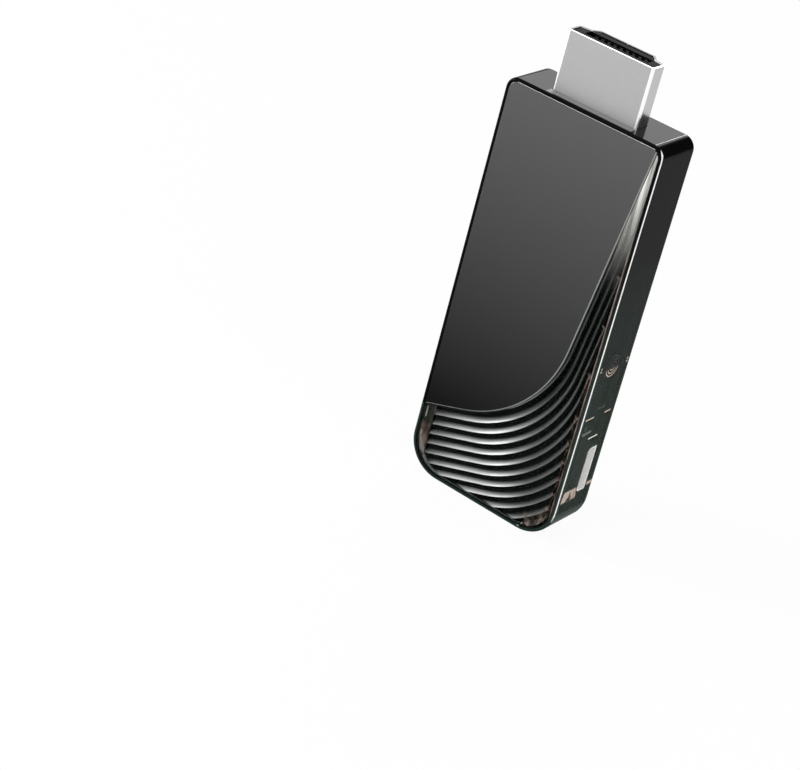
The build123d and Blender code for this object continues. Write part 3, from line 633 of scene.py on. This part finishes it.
def glossy_relief():
    """Glossy black-green ABS: black in the valleys and shinier toward the crests, with a painted highlight
    toward the crests that fades away from the middle of the width, and painted light toward the plug. Tan
    bonding lies along its right margin and in its far right corner."""
    material, tree = blank("glossy_relief")
    at = surroundings(tree)
    mark = add(tree, "ShaderNodeTexNoise", {"Vector": at["place"], "Scale": 1 / (0.8 * MM), "Detail": 3.0})
    floor_y = relief_floor / MM
    # rise and the middle of the width make a painted highlight on the crests; high is painted light toward
    # the plug.
    rise = add(tree, "ShaderNodeMapRange", {"Value": at["y"], "From Min": floor_y - 0.14,
               "From Max": floor_y - 0.53})
    middle = within(tree, at, x=(-7.3, 3.6, 3.8))
    highlight_fade = add(tree, "ShaderNodeMapRange", {"Value": middle, "To Min": 0.22, "To Max": 1.0})
    lit = merged(tree, "MULTIPLY", rise, highlight_fade)
    high = add(tree, "ShaderNodeMapRange", {"Value": at["z"], "From Min": 38, "From Max": 56},
               interpolation_type="SMOOTHSTEP")

    flat = add(tree, "ShaderNodeVectorMath", {0: at["place"], 1: (1 / MM, 0, 1 / MM)}, operation="MULTIPLY")
    corner_centre = ((smoke_high.x - housing_corner) / MM, 0, housing_corner / MM)
    reach = add(tree, "ShaderNodeVectorMath", {0: flat, 1: corner_centre}, operation="DISTANCE")
    at["reach"] = reach
    swirl = within(tree, at, reach=(3.3, None, 0.2), x=(7.6, None, 0.3), z=(None, 5, 0.3))
    margin = within(tree, at, x=(10.95, None, 0.02), z=(3, 30, 1))
    stain = add(tree, "ShaderNodeMapRange", {"Value": mark, "From Min": 0.38, "From Max": 0.62})
    brown = layered(tree, "#352c27", (stain, "#a18f84"))
    valley = layered(tree, "#020403", (mark, "#060a08"))
    colour = layered(tree, valley, (lit, "#f6f8f6"), (high, "#faf9f2"),
                     (merged(tree, "MAXIMUM", swirl, margin), brown))
    gloss = add(tree, "ShaderNodeMapRange", {"Value": lit, "To Min": 0.1, "To Max": 1.0})
    mould = textured(tree, mark, smooth=0.18, rough=0.26, relief=0.04, depth=0.02 * MM)
    return surfaced(material, {"Base Color": colour, **polished(mould, gloss, roughness=0.25)})


relief_mesh = surface("wave_relief", *moulded_relief(), sliver=relief_sliver, sharp=crest_turn)
relief_mesh.materials.append(glossy_relief())
shown(relief_mesh, "wave_panel")


# Display plug
# The shell is nickel-plated steel, folded from sheet: its front is fine satin, its sides are polished.
# Its corners and its front and right rims carry a painted highlight, and its inside and other rims
# painted shade. The block in it is moulded black, with two rows of dull plated contacts.
def plated_steel():
    """Nickel plate on folded steel: satin grey front and bright sides, a painted highlight on the corners and
    on the front and right rims, and painted shade on the inside and the other rims. A face that looks
    toward the shell's middle is inside."""
    material, tree = blank("plated_steel")
    at = surroundings(tree)
    low, high = corners("plug_shell")
    brushed = add(tree, "ShaderNodeMapping", {"Vector": at["place"], "Scale": (0.15, 1.0, 1.0)})
    line = add(tree, "ShaderNodeTexNoise", {"Vector": brushed, "Scale": 1 / (0.1 * MM), "Detail": 3.0})
    turn = merged(tree, "MULTIPLY", at["abs_normal_x"], at["abs_normal_y"])
    sideways = merged(tree, "MULTIPLY", at["x"], at["normal_x"])
    depth = add(tree, "ShaderNodeMath", {0: at["y"], 1: (low.y + high.y) / 2}, operation="SUBTRACT")
    outward = add(tree, "ShaderNodeMath", {0: depth, 1: at["normal_y"], 2: sideways},
                  operation="MULTIPLY_ADD")
    at["turn"] = turn
    corner = within(tree, at, turn=(0.17, None, 0.12))
    tip = within(tree, at, normal_z=(0.7, None, 0.01))
    front = within(tree, at, normal_y=(None, -0.8, 0.1))
    inside = add(tree, "ShaderNodeMath", {0: outward, 1: -0.3}, operation="LESS_THAN")
    rims = ({"y": (None, low.y + 0.2, 0.05)}, {"x": (high.x - 0.35, None, 0.02)})
    rim_highlight = merged(tree, "MULTIPLY", tip, anywhere(tree, at, rims))

    satin = layered(tree, "#9c9c9d", (line, "#a8a8a9"))
    # Painted shade on the inside and the rims, and a painted highlight on the corners and the front and right
    # rims.
    colour = layered(tree, "#bcbcbd", (front, satin), (merged(tree, "MAXIMUM", tip, inside), "#0c0c0d"),
                     (merged(tree, "MAXIMUM", corner, rim_highlight), "#fbfbfb"))
    metal = add(tree, "ShaderNodeMapRange", {"Value": front, "To Min": 1.0, "To Max": 0.5})
    rough = add(tree, "ShaderNodeMapRange", {"Value": front, "To Min": 0.2, "To Max": 0.5})
    bump = add(tree, "ShaderNodeBump", {"Height": line, "Strength": 0.05, "Distance": 0.01 * MM})
    return surfaced(material, {"Base Color": colour, "Roughness": rough, "Metallic": metal, "Normal": bump})


def plated_metal(name, dark, light, smooth, rough, grain):
    """Plated, tinned or rolled metal: two close shades with a fine grain in its gloss."""
    return grained(name, dark, light, smooth, rough, grain, relief=0.1, sockets={"Metallic": 1.0})


dressed("plug_shell", "plug_steel_shell", plated_steel())
jet_moulding = moulded_plastic("jet_moulding", "#020202", "#050505", smooth=0.5, rough=0.6, grain=0.2,
                               sheen=0.03)
paint(jet_moulding, "plug_insert")
dull_plate = plated_metal("dull_plate", "#6e6e6c", "#84847f", smooth=0.35, rough=0.45, grain=0.3)
paint(dull_plate, "plug_front_pins", "plug_back_pins")


# Circuit board and its parts
# Glass-fibre board with a dark green solder mask, chips moulded in black epoxy, tinned cans, tan
# ceramic capacitors and a ferrite inductor. All of it sits inside, under the frames and covers.
def solder_mask():
    """Dark green solder mask over copper tracks, which raise it slightly."""
    material, tree = blank("solder_mask")
    place = add(tree, "ShaderNodeTexCoord").outputs["Object"]
    track = add(tree, "ShaderNodeTexBrick", {"Vector": place, "Scale": 1 / (2.4 * MM), "Color1": "#1d4a34",
                "Color2": "#173c2b", "Mortar": "#0f2a1e", "Mortar Size": 0.03})
    height = track.outputs["Fac"]
    bump = add(tree, "ShaderNodeBump", {"Height": height, "Strength": 0.2, "Distance": 0.03 * MM})
    return surfaced(material, {"Base Color": track.outputs["Color"], "Normal": bump, "Roughness": 0.35})


paint(solder_mask(), "main_board")
chip_epoxy = moulded_plastic("chip_epoxy", "#1a1a1b", "#242425", smooth=0.5, rough=0.65, grain=0.08)
paint(chip_epoxy, "processor", "memory_chip", "flash_chip", "power_chip", "radio_chip", "resistors")
ferrite = moulded_plastic("ferrite", "#2a2a2b", "#3a3a3b", smooth=0.55, rough=0.7, grain=0.15)
paint(ferrite, "power_inductor")
ceramic_tan = moulded_plastic("ceramic_tan", "#9a7a55", "#b8966c", smooth=0.4, rough=0.5, grain=0.2)
paint(ceramic_tan, "capacitors")
tinned_sheet = plated_metal("tinned_sheet", "#a9a9a4", "#bdbdb8", smooth=0.3, rough=0.42, grain=0.5)
paint(tinned_sheet, "radio_shield", "crystal", "antenna")
rolled_aluminium = plated_metal("rolled_aluminium", "#b4b4b5", "#c6c6c7", smooth=0.3, rough=0.45, grain=0.3)
paint(rolled_aluminium, "heat_spreader")
zinc_plate = plated_metal("zinc_plate", "#8d8e90", "#a6a7a9", smooth=0.3, rough=0.4, grain=0.2)
paint(zinc_plate, "board_screws")
pad_silicone = moulded_plastic("pad_silicone", "#8f98a5", "#a3abb6", smooth=0.7, rough=0.85, grain=0.3)
paint(pad_silicone, "heat_pad")


# Ports
# Two power sockets. The far-end one has a bright plated shell, a black block and gold-plated contacts. The
# side one is pale, shell and block, with five dark contact ends, so its mouth looks white.
dot_pitch = 1.05
dot_half = 0.14
dot_row_half = 2.3


def dotted_block():
    """Pale moulded block, with five dark contact ends evenly spaced on the end of its tongue."""
    material, tree = blank("dotted_block")
    at = surroundings(tree)
    low, high = corners("side_port_insert")
    along = add(tree, "ShaderNodeMath", {0: at["z"], 1: (low.z + high.z) / 2}, operation="SUBTRACT")
    nearest = add(tree, "ShaderNodeMath", {0: along, 1: dot_pitch / 2}, operation="PINGPONG")
    at["along"] = along
    at["nearest"] = nearest
    dots = within(tree, at, nearest=(None, dot_half, 0.03), along=(-dot_row_half, dot_row_half, 0.05),
                  normal_x=(0.9, None, 0.01))
    grain = add(tree, "ShaderNodeTexNoise", {"Vector": at["place"], "Scale": 1 / (0.2 * MM)})
    pale = layered(tree, "#f2f1ee", (grain, "#fbfaf8"))
    bump = add(tree, "ShaderNodeBump", {"Height": grain, "Strength": 0.1, "Distance": 0.01 * MM})
    return surfaced(material, {"Base Color": layered(tree, pale, (dots, "#2a2725")), "Normal": bump,
                               "Roughness": 0.45})


black_moulding = moulded_plastic("black_moulding", "#080808", "#121212", smooth=0.35, rough=0.5, grain=0.2,
                                 sheen=0.25)
pale_moulding = moulded_plastic("pale_moulding", "#f2f1ee", "#fbfaf8", smooth=0.4, rough=0.5, grain=0.2)
bright_plate = plated_metal("bright_plate", "#dcdcdc", "#efefef", smooth=0.25, rough=0.35, grain=0.3)
paint(bright_plate, "power_port_shell")
paint(black_moulding, "power_port_insert")
gold_plate = plated_metal("gold_plate", "#c9a45c", "#e2c07a", smooth=0.2, rough=0.3, grain=0.3)
paint(gold_plate, "power_port_pins")
paint(pale_moulding, "side_port_shell")
paint(dotted_block(), "side_port_insert")
blackened_bronze = moulded_plastic("blackened_bronze", "#161412", "#24211e", smooth=0.4, rough=0.5, grain=0.2,
                                   sheen=0.1)
paint(blackened_bronze, "side_port_pins")


# Status light
# The lamp is soldered to the board. A guide moulded in pale plastic carries its light to the right wall,
# where its end shows as a short bar.
paint(pale_moulding, "status_led", "led_diffuser")


# Mode button
# Small push button in the right wall, moulded in the frame's smoked plastic, with ring grooves whose
# lower part carries a painted highlight in pinkish tan. Behind it, a black switch holds a pale plunger.
def grooved_button():
    """Gloss dark button, with a painted highlight in tan in the lower part of its ring grooves."""
    material, tree = blank("grooved_button")
    at = surroundings(tree)
    low, high = corners("mode_button")
    # Painted highlight: tan only in the lower part of the grooves, where light from above would catch them.
    grooves = within(tree, at, x=(None, high.x - 0.01, 0.003), z=(None, (low.z + high.z) / 2 - 0.35, 0.2))
    wear = add(tree, "ShaderNodeTexNoise", {"Vector": at["place"], "Scale": 1 / (0.5 * MM)})
    tan = layered(tree, "#d2bfae", (wear, "#f2e6d8"))
    rough = add(tree, "ShaderNodeMapRange", {"Value": wear, "To Min": 0.08, "To Max": 0.14})
    return surfaced(material, {"Base Color": layered(tree, "#101412", (grooves, tan)), "Roughness": rough,
                               "Specular IOR Level": 0.07})


dressed("mode_button", "round_mode_button", grooved_button(), body="button")
paint(black_moulding, "switch_body")
paint(pale_moulding, "switch_plunger")
